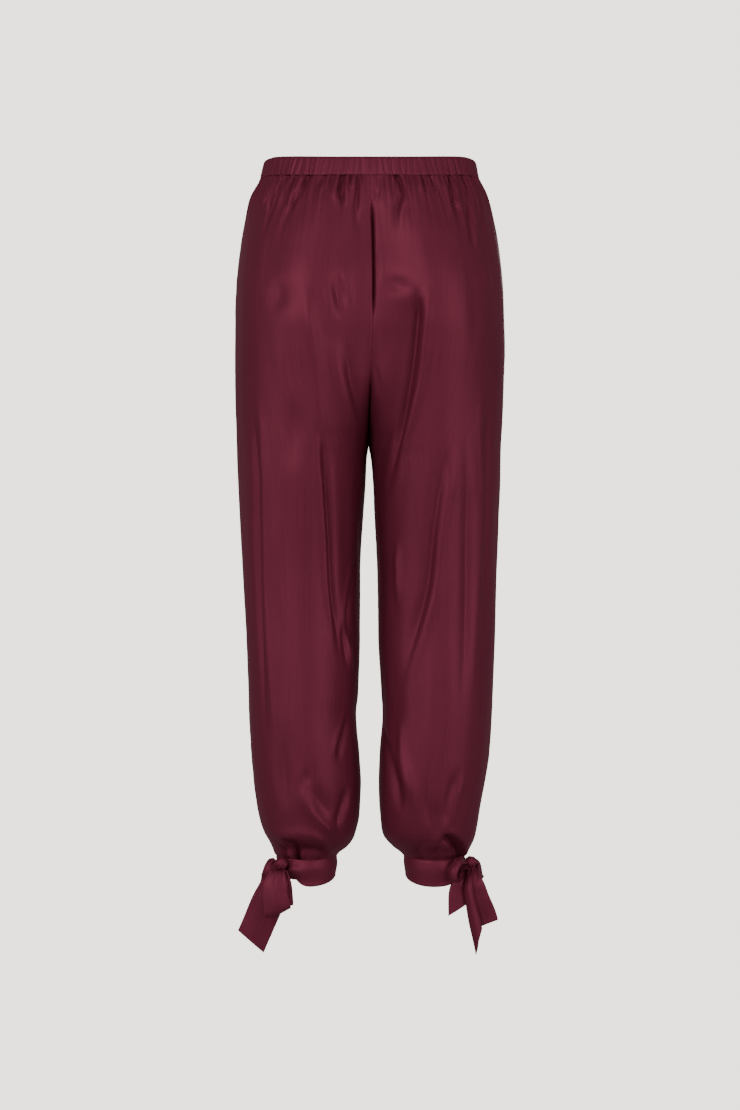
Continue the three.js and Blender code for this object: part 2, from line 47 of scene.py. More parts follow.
CAMERA_AWAY = 4.0
PICTURE_WIDTH = 1.0175  # metres across the picture at the trousers
PICTURE_MIDDLE_Z = -0.5356
FLOOR_Z = -1.42
PAPER_GLOW = (2.75, 2.66, 2.42)
ROOM_FLAT = 12  # metres from the middle to where the floor turns up
ROOM_CURVE = 4
ROOM_SIDES = 48

camera_data = bpy.data.cameras.new("camera")
camera_data.sensor_fit = "HORIZONTAL"
camera_data.sensor_width = 36
camera_data.lens = 36 * CAMERA_AWAY / PICTURE_WIDTH
camera = bpy.data.objects.new("camera", camera_data)
camera.location = (-0.0007, -CAMERA_AWAY, PICTURE_MIDDLE_Z)
camera.rotation_euler = (math.radians(90), 0, 0)
bpy.context.scene.collection.objects.link(camera)
bpy.context.scene.camera = camera


def soft_box(name, place, target, size, power):
    data = bpy.data.lights.new(name, "AREA")
    data.shape = "RECTANGLE"
    data.size, data.size_y = size
    data.energy = power
    light = bpy.data.objects.new(name, data)
    light.location = place
    light.rotation_euler = (Vector(target) - Vector(place)).to_track_quat("-Z", "Y").to_euler()
    bpy.context.scene.collection.objects.link(light)


soft_box("key", (-1.9, -3.3, 0.6), (0, 0, -0.5), (0.9, 1.8), 60)
soft_box("fill", (2.3, -2.9, 0.0), (0, 0, -0.5), (0.9, 2.0), 34)
soft_box("front", (-0.2, -4.3, 0.3), (0, 0, -0.6), (1.8, 1.8), 24)
soft_box("left side", (-2.9, -1.6, -0.2), (0, 0, -0.5), (0.8, 2.2), 22)
soft_box("right side", (2.9, -1.6, -0.2), (0, 0, -0.5), (0.8, 2.2), 22)
soft_box("far", (0.4, 3.6, 0.8), (0, 0, -0.5), (1.2, 1.8), 60)

world = bpy.data.worlds.new("studio")
world.use_nodes = True
world.node_tree.nodes["Background"].inputs["Color"].default_value = (0.95, 0.95, 0.97, 1)
world.node_tree.nodes["Background"].inputs["Strength"].default_value = 0.28
bpy.context.scene.world = world


def paper_room():
    """A floor that turns up into a wall and a ceiling all round."""
    profile = [(0.0001, FLOOR_Z), (ROOM_FLAT, FLOOR_Z)]
    for step in range(1, 13):
        turn = step / 12 * math.pi / 2
        profile.append((ROOM_FLAT + ROOM_CURVE * math.sin(turn), FLOOR_Z + ROOM_CURVE * (1 - math.cos(turn))))
    profile += [(ROOM_FLAT + ROOM_CURVE, 9), (0.0001, 13)]
    n = ROOM_SIDES
    points = [(r * math.cos(a * 2 * math.pi / n), r * math.sin(a * 2 * math.pi / n), z)
              for r, z in profile for a in range(n)]
    faces = [(n * i + a, n * i + (a + 1) % n, n * (i + 1) + (a + 1) % n, n * (i + 1) + a)
             for i in range(len(profile) - 1) for a in range(n)]
    mesh = bpy.data.meshes.new("paper")
    mesh.from_pydata(points, [], faces)
    paper = bpy.data.objects.new("paper", mesh)
    bpy.context.scene.collection.objects.link(paper)
    paper.visible_diffuse = paper.visible_glossy = paper.visible_shadow = False
    material = bpy.data.materials.new("paper")
    material.use_nodes = True
    shader = material.node_tree.nodes["Principled BSDF"]
    shader.inputs["Base Color"].default_value = (0, 0, 0, 1)
    shader.inputs["Specular IOR Level"].default_value = 0
    shader.inputs["Emission Color"].default_value = (*PAPER_GLOW, 1)
    shader.inputs["Emission Strength"].default_value = 1.0
    mesh.materials.append(material)


paper_room()


# ------------------------------------------------------------
# Leg panels: four pieces of light satin, a back and a front for each leg. Each is cut wider than the
# waistband and the cuff, gathered into both, and sewn to its neighbours at the side seam, the centre seam and
# the inseam.

MM = 0.001
GAP = 0.3  # between pieces at a seam, in mm, as the solids have it
SATIN_THICK = 0.55
BAND_TOP = 4.8
BAND_BOTTOM = -20.2
BAND_INSET = 1.8  # how far the elastic draws the waist in
BAND_SAG = 6.5  # how far the waistband dips at the centre back
CUFF_TOP = -955
CUFF_HEM = -947  # the cuff's upper edge, which laps over the ends of the legs
VALLEY = {"back": (-330, -235), "front": (-350, -190)}  # the soft valley between the halves ends here
CROTCH = (-400, -370)  # the halves part between these heights


def table(names, rows):
    return [dict(zip(names.split(), row)) for row in rows]


# The garment's form, a row for each height, in mm. out is the side seam's x, in the inner edge's x, back and
# front the depth at the fullest point, apex where that lies from the inner edge to the side seam, seam the
# centre seam's depth, and side the side seam's y.
FORM = table("z outL outR inL inR back front apex seamB seamF side", [
    (14, 146, 144.5, 0, 0, 106, 98, 0.2, 105.6, 97.6, 0),
    (-12, 150.5, 148, 0, 0, 109, 100, 0.2, 108.6, 99.6, 0),
    (-27, 155, 153, 0.2, 0.2, 112, 103, 0.24, 111, 102, 0),
    (-47, 163, 160, 0.8, 0.8, 116, 107, 0.28, 113, 106, 0),
    (-68, 168.5, 165.7, 2, 2, 121, 110, 0.32, 114, 108.5, 0),
    (-110, 178, 175, 3.5, 3.5, 131, 114, 0.38, 120, 111, 0),
    (-171, 185, 182, 4.5, 4.5, 141, 116, 0.43, 129, 112, 0),
    (-212, 186.3, 183.6, 4, 4, 142, 115, 0.45, 127, 110, 0),
    (-254, 186.3, 185, 3, 3, 136, 113, 0.46, 119, 106, 0),
    (-295, 186, 183.6, 1, 1, 128, 111, 0.47, 103, 95, 0),
    (-330, 185.5, 182.5, -1, -1, 122, 110, 0.48, 68, 70, 0),
    (-360, 184.5, 181, -2, -2, 118, 109, 0.49, 28, 38, 0),
    (-385, 183.5, 179.5, -2.5, -2.5, 115, 108, 0.5, -4, 4, 1),
    (-400, 183, 179, -5.5, 0.5, 113, 107, 0.5, -4, 4, 2),
    (-440, 181, 178, -8, 3.5, 109, 105, 0.5, -5, 5, 3),
    (-480, 179.4, 175.5, -10.5, 5, 104, 103, 0.5, -6, 6, 5),
    (-563, 175, 172.6, -14.5, 9, 96, 101, 0.5, -6, 6, 5),
    (-646, 171, 171, -14.5, 10.5, 93, 95, 0.5, -2, 2, 1),
    (-728, 168, 168, -17.5, 15.8, 93, 88, 0.5, 2, -2, -2),
    (-750, 167.5, 167, -20, 17, 93, 86, 0.5, 3, -3, -3),
    (-811, 164, 163, -16, 13, 92, 82, 0.5, 4, -4, -4),
    (-852, 160, 156.5, -13.5, 11.7, 90, 80, 0.5, 5, -5, -4),
    (-872, 157, 152.5, -14.4, 12, 88, 79, 0.5, 5, -5, -4),
    (-893, 153, 149, -16, 13.5, 85, 77, 0.5, 5, -5, -4),
    (-907, 149, 146.7, -18.5, 15.2, 82, 74, 0.5, 4.5, -4.5, -4),
    (-918, 144.5, 144.4, -21.5, 18, 77.5, 69, 0.5, 4, -4, -4),
    (-927, 139, 141.4, -25.5, 23.5, 70, 62, 0.5, 4, -4, -4),
    (-936, 134.5, 137, -32.5, 32, 60.5, 53.5, 0.5, 4, -4, -4),
    (-945, 131, 132.5, -44, 43, 53, 46, 0.5, 4, -4, -4),
    (-955, 128.5, 128.2, -46, 45.8, 49, 41, 0.5, 4, -4, -4),
    (-965, 128.5, 128.2, -46, 45.8, 49, 41, 0.5, 4, -4, -4),
])


def form_at(z):
    """Each column of FORM at the heights z, along curves that never overshoot its rows."""
    rows_z = np.array([row["z"] for row in FORM], float)
    index = np.clip(np.searchsorted(-rows_z, -z, side="right") - 1, 0, len(FORM) - 2)
    step = (rows_z[1:] - rows_z[:-1])[index]
    t = np.clip((z - rows_z[index]) / step, 0, 1)
    found = {}
    for key in FORM[0]:
        value = np.array([row[key] for row in FORM], float)
        rise = np.diff(value) / np.diff(rows_z)
        slope = np.zeros(len(FORM))
        both = rise[:-1] * rise[1:]
        slope[1:-1] = np.where(both > 0, 2 * both / np.where(both > 0, rise[:-1] + rise[1:], 1), 0)
        found[key] = (value[index] * (1 + 2 * t) * (1 - t) ** 2 + slope[index] * step * t * (1 - t) ** 2
                      + value[index + 1] * t * t * (3 - 2 * t) - slope[index + 1] * step * t * t * (1 - t))
    return found


def unit(vector):
    return vector / np.linalg.norm(vector, axis=-1, keepdims=True)


def ease(start, end, value):
    t = np.clip((value - start) / (end - start), 0, 1)
    return t * t * (3 - 2 * t)


class Section:
    """A panel's plain form: for shares s from side seam (0) to inner edge (1) and heights z, its points, the
    lengths along its level sections, and the level directions that point out of it."""

    QUARTER = 90

    def __init__(self, side, face, s, z):
        form = form_at(z)
        outer = -form["outL"] if side == "left" else form["outR"]
        inner = form["inL"] - GAP / 2 if side == "left" else form["inR"] + GAP / 2
        full_x = inner + (outer - inner) * form["apex"]
        full_y = -form["back"] if face == "back" else form["front"]
        end_y = -form["seamB"] if face == "back" else form["seamF"]
        turn = np.linspace(0, math.pi / 2, self.QUARTER)[None, :]
        at = lambda value: value[:, None]
        # above the crotch the two halves run into each other in a soft valley
        soft = at(ease(*VALLEY[face], z))
        inwards = (1 - soft) * np.sin(turn) + soft * turn / (math.pi / 2)
        depth = (1 - soft) * np.cos(turn) + soft * np.cos(turn) ** 2
        x = np.hstack([at(full_x) + at(outer - full_x) * np.cos(turn),
                       at(full_x) + at(inner - full_x) * inwards])
        y = np.hstack([at(form["side"]) + at(full_y - form["side"]) * np.sin(turn),
                       at(end_y) + at(full_y - end_y) * depth])
        along = np.cumsum(np.hypot(np.diff(x, prepend=x[:, :1]), np.diff(y, prepend=y[:, :1])), axis=1)
        self.length = along[:, -1]
        self.arc = GAP / 2 + s[None, :] * (self.length[:, None] - GAP)
        pick = lambda source: np.array([np.interp(self.arc[j], along[j], source[j]) for j in range(len(z))])
        self.x, self.y = pick(x), pick(y)
        self.z = np.repeat(z[:, None], len(s), axis=1)
        self.lines = (x, along, z)
        dx, dy = np.gradient(self.x, axis=1), np.gradient(self.y, axis=1)
        size = np.hypot(dx, dy) * (1 if (side == "left") == (face == "back") else -1)
        self.out_x, self.out_y = dy / size, -dx / size

    def arc_at(self, x, z):
        """How far from the side seam the panel has a given x at a given height."""
        lines_x, along, heights = self.lines
        row = int(np.argmin(np.abs(heights - z)))
        passed = (lines_x[row] - x) * (lines_x[row][0] - x) <= 0
        return along[row][int(np.argmax(passed))] if passed.any() else along[row][-1]


SLACK = 1.7  # light satin sinks this much deeper than the rows of creases say

# The creases that the eye picks out on the back, a row for each: it runs through up to four points (x, z), in
# mm. width is its half-width, depth how far it sinks (a negative one stands up), and lip the height of the
# soft ridge beside it, to the right or (negative) to the left. It fades in over its first share and out over
# its last.
CREASES = table("side path width depth lip fade_in fade_out", [
    # from the waist seam down, left
    ("left", [(-85, -14), (-98, -47), (-110, -74), (-122, -112)], 5.5, 3.4, -1.6, 0, 0.55),
    ("left", [(-114, -14), (-129, -52), (-137, -83), (-141, -116)], 6, 3.2, 1.8, 0, 0.5),
    ("left", [(-128, -14), (-141, -54), (-151, -78)], 5, 2.4, 1.2, 0, 0.5),
    ("left", [(-100, -14), (-109, -45), (-120, -80)], 5, 1.6, 1.0, 0, 0.6),
    ("left", [(-63, -13), (-67, -30), (-73, -50)], 3.4, 2.2, 1.0, 0, 0.6),
    ("left", [(-54, -13), (-55, -40), (-56, -74)], 4.5, 1.5, 0.9, 0, 0.6),
    ("left", [(-41, -13), (-40.6, -38), (-38, -58), (-38, -84)], 3.8, 3.6, -1.3, 0, 0.5),
    ("left", [(-16.6, -13), (-17.2, -42), (-20, -75), (-18.5, -106)], 4.4, 3.0, 1.8, 0, 0.55),
    ("left", [(-10, -16), (-9.5, -60), (-5, -90), (-6, -150)], 5, -2.6, 0, 0.1, 0.5),
    ("left", [(-27, -14), (-29, -30), (-30, -52)], 3.6, 1.6, 0.8, 0, 0.6),
    # from the waist seam down, right
    ("right", [(8.7, -40), (6, -60), (3.6, -90), (3.4, -206)], 3.4, 4.2, 1.2, 0.2, 0.25),
    ("right", [(20, -14), (17, -42), (15.8, -64)], 3.4, -1.8, 0, 0, 0.5),
    ("right", [(36.4, -13), (41, -40), (35, -72), (30.5, -108)], 4.6, 3.4, 1.9, 0, 0.5),
    ("right", [(57, -20), (62.6, -13), (66, -30)], 3, 1.6, 0.8, 0.2, 0.6),
    ("right", [(72, -13), (74, -34), (78, -52)], 3.6, 1.4, 0.8, 0, 0.6),
    ("right", [(81, -13), (84, -28), (89, -48)], 3.6, 2.2, 1.2, 0, 0.6),
    ("right", [(97, -14), (104, -60), (106, -90)], 4.4, -1.8, 0, 0, 0.6),
    ("right", [(110, -14), (112, -58), (117, -68), (124, -108)], 4.4, 2.6, 1.5, 0, 0.5),
    ("right", [(127, -14), (134, -66), (137, -104), (139, -132)], 5, 2.6, 1.4, 0, 0.5),
    ("right", [(140, -14), (149, -60), (152, -100)], 5, 1.6, 1.0, 0, 0.5),
    # the seat and the upper leg
    ("left", [(-126, -165), (-122, -190), (-116, -215)], 15, 2.6, 0, 0.5, 0.5),
    ("left", [(-53, -160), (-44, -195), (-38, -225)], 7, 2.4, -1.2, 0.4, 0.5),
    ("left", [(-45, -150), (-37, -185), (-33, -214)], 6, 2.0, 1.0, 0.4, 0.5),
    ("left", [(-84, -165), (-76, -255), (-70, -340), (-58, -470)], 9, -3.2, 0, 0.3, 0.3),
    ("left", [(-72, -330), (-58, -470), (-52, -580), (-43, -680)], 6.5, 3.8, -2.6, 0.25, 0.3),
    ("left", [(-100, -320), (-103, -370), (-104, -430)], 13, 2.4, 0, 0.5, 0.5),
    ("left", [(-160, -310), (-152, -440), (-149, -620), (-140, -800)], 8, 3.0, 2.4, 0.3, 0.3),
    ("left", [(-120, -420), (-114, -520), (-112, -640)], 12, 1.8, -1.0, 0.5, 0.5),
    ("left", [(-34, -240), (-24, -310), (-14, -372)], 11, 3.4, -1.8, 0.4, 0.3),
    ("right", [(14, -168), (40, -178), (66, -181)], 9, 2.6, 0, 0.4, 0.5),
    ("right", [(150, -150), (158, -162), (166, -176)], 14, -1.6, 0, 0.5, 0.5),
    ("right", [(62, -175), (60, -235), (47, -330), (20, -470)], 9, 6.0, 3.4, 0.25, 0.3),
    ("right", [(48, -180), (45, -240), (31, -330), (8, -460)], 20, 5.0, 0, 0.25, 0.3),
    ("right", [(100, -390), (88, -480), (75, -585), (42, -715)], 9, 4.4, 2.6, 0.25, 0.3),
    ("right", [(36.5, -510), (36.5, -610)], 7, -2.2, 0, 0.4, 0.4),
    ("right", [(128, -330), (132, -470), (130, -640), (120, -760)], 11, 2.4, 1.4, 0.4, 0.4),
    ("right", [(156, -300), (158, -450), (154, -640)], 8, 2.0, -1.6, 0.4, 0.4),
    ("right", [(0, -204), (2, -268), (9, -292), (14, -320)], 4, 3, 0.8, 0.2, 0.3),
    # the lower leg and the ankle
    ("left", [(-19, -535), (-29, -600), (-35, -660)], 7, 2.8, -1.3, 0.25, 0.4),
    ("left", [(-42, -620), (-36, -655), (-33, -690)], 5, 2.0, 1.2, 0.4, 0.5),
    ("left", [(-30, -650), (-26, -700)], 6, -2.0, 0, 0.4, 0.5),
    ("left", [(-30, -750), (-41, -792), (-48, -815)], 6, 2.8, -1.4, 0.3, 0.5),
    ("left", [(-90, -835), (-85, -872), (-66, -898), (-43, -916)], 9, -3.4, 0, 0.35, 0.25),
    ("left", [(-76, -842), (-68, -868), (-52, -888)], 9, 2.6, 0, 0.4, 0.4),
    ("left", [(-29, -845), (-40, -882), (-47, -908)], 7, 2.4, 0.8, 0.3, 0.4),
    ("left", [(-84, -822), (-91, -850)], 6, 1.8, -0.8, 0.4, 0.5),
    ("left", [(-112, -760), (-118, -830), (-112, -890)], 12, 2.0, 0, 0.5, 0.5),
    ("left", [(-130, -922), (-105, -915), (-80, -915), (-52, -928)], 10, -2.4, 0, 0.2, 0.2),
    ("left", [(-122, -938), (-100, -934), (-78, -934), (-58, -944)], 7, 2.6, 0, 0.2, 0.3),
    ("left", [(-114, -916), (-107, -934), (-103, -953)], 4.4, 5.5, 0, 0.3, 0),
    ("left", [(-101, -918), (-102, -936), (-103, -953)], 3.6, 4.5, 0, 0.3, 0),
    ("left", [(-122, -928), (-117, -942), (-112, -953)], 3.6, 3.0, 1.0, 0.3, 0),
    ("left", [(-84, -926), (-86, -940), (-90, -953)], 5, 2.0, 0.8, 0.3, 0),
    ("left", [(-64, -928), (-67, -940), (-70, -953)], 5, 1.6, 0.8, 0.3, 0),
    ("right", [(18, -765), (30, -825), (46, -888)], 10, 4.0, 1.8, 0.35, 0.35),
    ("right", [(39, -745), (46, -815), (68, -888)], 8, -2.4, 0, 0.4, 0.4),
    ("right", [(122, -820), (106, -864), (99, -908)], 8, 2.6, 1.2, 0.35, 0.3),
    ("right", [(90, -862), (85, -926)], 6, 2.0, 1.0, 0.4, 0.4),
    ("right", [(72, -830), (78, -880), (80, -930)], 8, 1.8, -1.0, 0.5, 0.4),
    ("right", [(96, -914), (110, -919), (121, -932), (126, -952)], 4.8, 7.5, 0.8, 0.25, 0),
    ("right", [(112, -926), (116, -940), (119, -953)], 4.5, 4.0, 1.2, 0.3, 0),
    ("right", [(64, -930), (66, -942), (68, -953)], 5, 1.6, 0.8, 0.3, 0),
    ("right", [(90, -930), (90, -942), (92, -953)], 5, 1.8, 0.8, 0.3, 0),
])

# The pulls that only the front has: soft creases that fan out from the crotch, and long falls down the leg.
FRONT_CREASES = table("side path width depth lip fade_in fade_out", [
    ("left", [(-14, -340), (-46, -306), (-88, -292)], 9, 4.4, 2.0, 0.2, 0.6),
    ("left", [(-16, -362), (-44, -346), (-84, -344)], 8, 3.4, 1.6, 0.2, 0.6),
    ("left", [(-12, -310), (-34, -268), (-60, -240)], 8, 2.6, -1.4, 0.2, 0.6),
    ("left", [(-100, -190), (-104, -330), (-98, -520), (-88, -640)], 12, 3.6, 2.2, 0.4, 0.4),
    ("left", [(-56, -390), (-54, -520), (-60, -700)], 10, 4.2, -2.4, 0.3, 0.4),
    ("right", [(14, -344), (44, -308), (86, -296)], 9, 4.0, -2.0, 0.2, 0.6),
    ("right", [(16, -366), (46, -352), (82, -352)], 8, 3.0, -1.4, 0.2, 0.6),
    ("right", [(12, -306), (30, -262), (54, -230)], 8, 2.4, 1.4, 0.2, 0.6),
    ("right", [(104, -210), (102, -350), (96, -540), (90, -660)], 12, 3.8, -2.2, 0.4, 0.4),
    ("right", [(52, -400), (52, -540), (62, -730)], 10, 4.0, 2.2, 0.3, 0.4),
])


def spline(points, count=22):
    """Points evenly along a smooth curve through a few given ones."""
    points = np.array(points, float)
    padded = np.vstack([2 * points[0] - points[1], points, 2 * points[-1] - points[-2]])
    u = np.linspace(0, len(points) - 1, count)
    i = np.minimum(u.astype(int), len(points) - 2)
    t = (u - i)[:, None]
    a, b, c, d = padded[i], padded[i + 1], padded[i + 2], padded[i + 3]
    bend, twist = 2 * a - 5 * b + 4 * c - d, 3 * b - a - 3 * c + d
    return 0.5 * (2 * b + (c - a) * t + bend * t ** 2 + twist * t ** 3)


def creased(section, side, creases):
    """How far the creases move each point of a panel in."""
    sunk = np.zeros_like(section.x)
    right_is_inward = 1 if side == "left" else -1
    for crease in creases:
        if crease["side"] != side:
            continue
        path = spline([(section.arc_at(x, z), z) for x, z in crease["path"]])
        reach = 4.5 * crease["width"]
        rows = (section.z[:, 0] < path[:, 1].max() + reach) & (section.z[:, 0] > path[:, 1].min() - reach)
        arc, z = section.arc[rows], section.z[rows]
        near = (arc < path[:, 0].max() + reach) & (arc > path[:, 0].min() - reach)
        at = np.stack([arc[near], z[near]], axis=1)
        if not len(at):
            continue
        best = np.full(len(at), np.inf)
        share = np.zeros(len(at))
        turn = np.zeros(len(at))
        for i in range(len(path) - 1):
            run = path[i + 1] - path[i]
            t = np.clip(((at - path[i]) @ run) / (run @ run), 0, 1)
            off = at - path[i] - t[:, None] * run
            far = np.hypot(off[:, 0], off[:, 1])
            closer = far < best
            best[closer] = far[closer]
            share[closer] = (i + t[closer]) / (len(path) - 1)
            turn[closer] = off[closer, 0]
        beside = best / crease["width"]
        lip_side = np.sign(crease["lip"]) * right_is_inward * np.sign(turn)
        steep = np.where(lip_side > 0, beside / 0.62, beside)
        shape = SLACK * crease["depth"] * np.exp(-steep ** 1.7)
        shape -= 1.25 * abs(crease["lip"]) * (lip_side > 0) * np.exp(-((beside - 1.55) / 0.8) ** 2)
        if crease["fade_in"]:
            shape *= ease(0, crease["fade_in"], share)
        if crease["fade_out"]:
            shape *= ease(0, crease["fade_out"], 1 - share)
        block = sunk[rows]
        block[near] += shape
        sunk[rows] = block
    return sunk


def rolling(seed, across, along, cell_across, cell_along):
    """Smooth uneven ground between -1 and 1, its hills about one cell apart."""
    rng = np.random.default_rng(seed)
    u = (across - across.min()) / cell_across + 1
    v = (along - along.min()) / cell_along + 1
    hills = rng.uniform(-1, 1, (int(u.max()) + 4, int(v.max()) + 4))
    i, j = u.astype(int), v.astype(int)
    weights = lambda t: (((-t + 2) * t - 1) * t / 2, ((3 * t - 5) * t * t + 2) / 2,
                         ((-3 * t + 4) * t + 1) * t / 2, (t - 1) * t * t / 2)
    wu, wv = weights(u - i), weights(v - j)
    return sum(wu[a] * wv[b] * hills[i + a - 1, j + b - 1] for a in range(4) for b in range(4))


def gathers(seed, share, drop, count, height, reach, crest=0.85):
    """Crests of cloth side by side, of uneven widths, that stand out from the seam and die out away from it.
    A low crest number gives round crests with narrow valleys between them."""
    rng = np.random.default_rng(seed)
    edges = np.concatenate([[0], np.cumsum(rng.uniform(0.5, 1.5, count))])
    edges /= edges[-1]
    k = np.clip(np.searchsorted(edges, share, side="right") - 1, 0, count - 1)
    v = np.clip((share - edges[k]) / (edges[k + 1] - edges[k]), 0, 1)
    v = v ** rng.uniform(0.65, 1.5, count)[k]
    tall = rng.uniform(0.4, 1.0, count)[k]
    far = rng.uniform(*reach, count)[k]
    return height * tall * np.sin(math.pi * v) ** crest * np.exp(-(np.maximum(drop, 0) / far) ** 1.7)


def lie_flat(points):
    """Cloth coordinates in metres: across along the middle row, and down along the middle column."""
    middle = points.shape[0] // 2
    across = np.concatenate([[0], np.cumsum(np.linalg.norm(np.diff(points[middle], axis=0), axis=1))])
    column = points[:, points.shape[1] // 2]
    down = np.concatenate([[0], np.cumsum(np.linalg.norm(np.diff(column, axis=0), axis=1))])
    return np.stack(np.meshgrid(across, -down), axis=-1)


def surface_normals(points, ring):
    """Unit normals of a grid of points, whose columns may close into a ring."""
    if ring:
        across = np.roll(points, -1, axis=1) - np.roll(points, 1, axis=1)
    else:
        across = np.gradient(points, axis=1)
    normal = np.cross(np.gradient(points, axis=0), across)
    return normal / np.maximum(np.linalg.norm(normal, axis=2, keepdims=True), 1e-12)


def cloth_shell(name, points, thickness, material, outward, ring=False):
    """A closed piece of cloth: the grid of points is its right side, in mm, with its wrong side behind it."""
    rows, columns = points.shape[:2]
    normal = surface_normals(points, ring)
    if np.sum(normal * outward) < 0:
        normal = -normal
    inside = points - normal * thickness
    vertices = np.concatenate([points.reshape(-1, 3), inside.reshape(-1, 3)]) * MM
    number = np.arange(rows * columns).reshape(rows, columns)
    if ring:
        number = np.hstack([number, number[:, :1]])
    other = number + rows * columns
    face = lambda a, b, c, d: np.stack([a.ravel(), b.ravel(), c.ravel(), d.ravel()], axis=1)
    sheet = lambda n: (n[:-1, :-1], n[1:, :-1], n[1:, 1:], n[:-1, 1:])
    quads = [face(*sheet(number)), face(*sheet(other))[:, ::-1]]
    rim = lambda a, b: face(a[:-1], a[1:], b[1:], b[:-1])
    quads += [rim(number[0], other[0]), rim(other[-1], number[-1])]
    if not ring:
        quads += [rim(other[:, 0], number[:, 0]), rim(number[:, -1], other[:, -1])]
    quads = np.concatenate(quads)
    a, b, c, d = (vertices[quads[:, i]] for i in range(4))
    volume = np.sum(a * np.cross(b, c)) + np.sum(a * np.cross(c, d))
    if volume < 0:
        quads = quads[:, ::-1]
    flat = lie_flat(points * MM)
    if ring:
        girth = np.linalg.norm(points[rows // 2, 0] - points[rows // 2, -1]) * MM
        last = flat[:, -1:] + np.array([girth, 0])
        flat = np.concatenate([flat, last], axis=1)
    mesh = bpy.data.meshes.new(name)
    mesh.vertices.add(len(vertices))
    mesh.vertices.foreach_set("co", vertices.ravel())
    mesh.loops.add(quads.size)
    mesh.loops.foreach_set("vertex_index", quads.ravel().astype(np.int32))
    mesh.polygons.add(len(quads))
    mesh.polygons.foreach_set("loop_start", np.arange(0, quads.size, 4, dtype=np.int32))
    mesh.polygons.foreach_set("use_smooth", np.ones(len(quads), bool))
    corner = quads.ravel() % (rows * columns)
    row, column = corner // columns, corner % columns
    if ring:
        column = column.reshape(-1, 4)
        wrapped = (column == columns - 1).any(axis=1) & (column == 0).any(axis=1)
        column[wrapped] = np.where(column[wrapped] == 0, columns, column[wrapped])
        column = column.ravel()
    layer = mesh.uv_layers.new(name="cloth")
    layer.data.foreach_set("uv", flat[row, column].ravel().astype(np.float32))
    mesh.update(calc_edges=True)
    mesh.validate()
    mesh.materials.append(material)
    piece = bpy.data.objects.new(name, mesh)
    bpy.context.scene.collection.objects.link(piece)
    return piece


class Value:
    """A value that varies over a surface, which adds up like a number."""

    def __init__(self, finish, socket):
        self.finish, self.socket = finish, socket

    def _math(self, operation, *values):
        return self.finish.node("ShaderNodeMath", {"operation": operation}, dict(enumerate(values)))

    def __add__(self, other):
        return self._math("ADD", self, other)

    def __mul__(self, other):
        return self._math("MULTIPLY", self, other)

    __radd__ = __add__


class Finish:
    """One material and its nodes."""

    def __init__(self, name):
        self.material = bpy.data.materials.new(name)
        self.material.use_nodes = True
        self.tree = self.material.node_tree
        self.shader = self.tree.nodes["Principled BSDF"]

    def node(self, kind, settings, inputs, output=0):
        made = self.tree.nodes.new(kind)
        for key, value in settings.items():
            setattr(made, key, value)
        for key, value in inputs.items():
            if isinstance(value, Value):
                self.tree.links.new(value.socket, made.inputs[key])
            else:
                made.inputs[key].default_value = value
        return Value(self, made.outputs[output])

    def mix(self, factor, dark, light):
        made = self.tree.nodes.new("ShaderNodeMix")
        made.data_type = "RGBA"
        for key, value in ((0, factor), (6, dark), (7, light)):
            if isinstance(value, Value):
                self.tree.links.new(value.socket, made.inputs[key])
            else:
                made.inputs[key].default_value = value
        return Value(self, made.outputs[2])

    def feed(self, socket, value):
        self.tree.links.new(value.socket, self.shader.inputs[socket])


def satin(name, deep, bright, roughness, crumple):
    """Satin weave: long floating threads down the cloth, with a soft sheen and faint streaks along them."""
    finish = Finish(name)
    cloth = finish.node("ShaderNodeUVMap", {"uv_map": "cloth"}, {})
    along = lambda scale: finish.node("ShaderNodeMapping", {}, {"Vector": cloth, "Scale": scale})
    noise = lambda scale, detail: finish.node("ShaderNodeTexNoise", {"noise_dimensions": "2D"},
                                              {"Vector": along(scale), "Scale": 1.0, "Detail": detail})
    streaks = noise((420, 9, 1), 3.0)
    cloudy = noise((16, 5, 1), 2.0)
    threads = noise((2600, 120, 1), 1.0)
    ruffled = noise((90, 30, 1), 3.0)
    tone = streaks * 0.5 + cloudy * 0.35 + threads * 0.15
    finish.feed("Base Color", finish.mix(tone, (*deep, 1), (*bright, 1)))
    finish.feed("Roughness", roughness - 0.06 + streaks * 0.08 + threads * 0.05)
    height = threads * 0.00003 + streaks * 0.00006 + ruffled * crumple
    bump = finish.node("ShaderNodeBump", {}, {"Height": height, "Strength": 0.6, "Distance": 1.0})
    finish.feed("Normal", bump)
    finish.shader.inputs["Metallic"].default_value = 0.30
    finish.shader.inputs["Specular IOR Level"].default_value = 0.12
    finish.shader.inputs["Specular Tint"].default_value = (1.0, 0.45, 0.55, 1)
    return finish.material


WINE_DEEP = (0.094, 0.0125, 0.026)
WINE_BRIGHT = (0.150, 0.022, 0.043)
leg_satin = satin("leg_satin", WINE_DEEP, WINE_BRIGHT, 0.47, 0.00022)

PANEL_COLUMNS = {"back": 200, "front": 168}
FINE_ABOVE, FINE_BELOW = -75, -880  # rows of points lie closer above and below these heights
ALLOWANCE = (1.2, 3.0, 6.0)  # turned in along the long seams, in mm

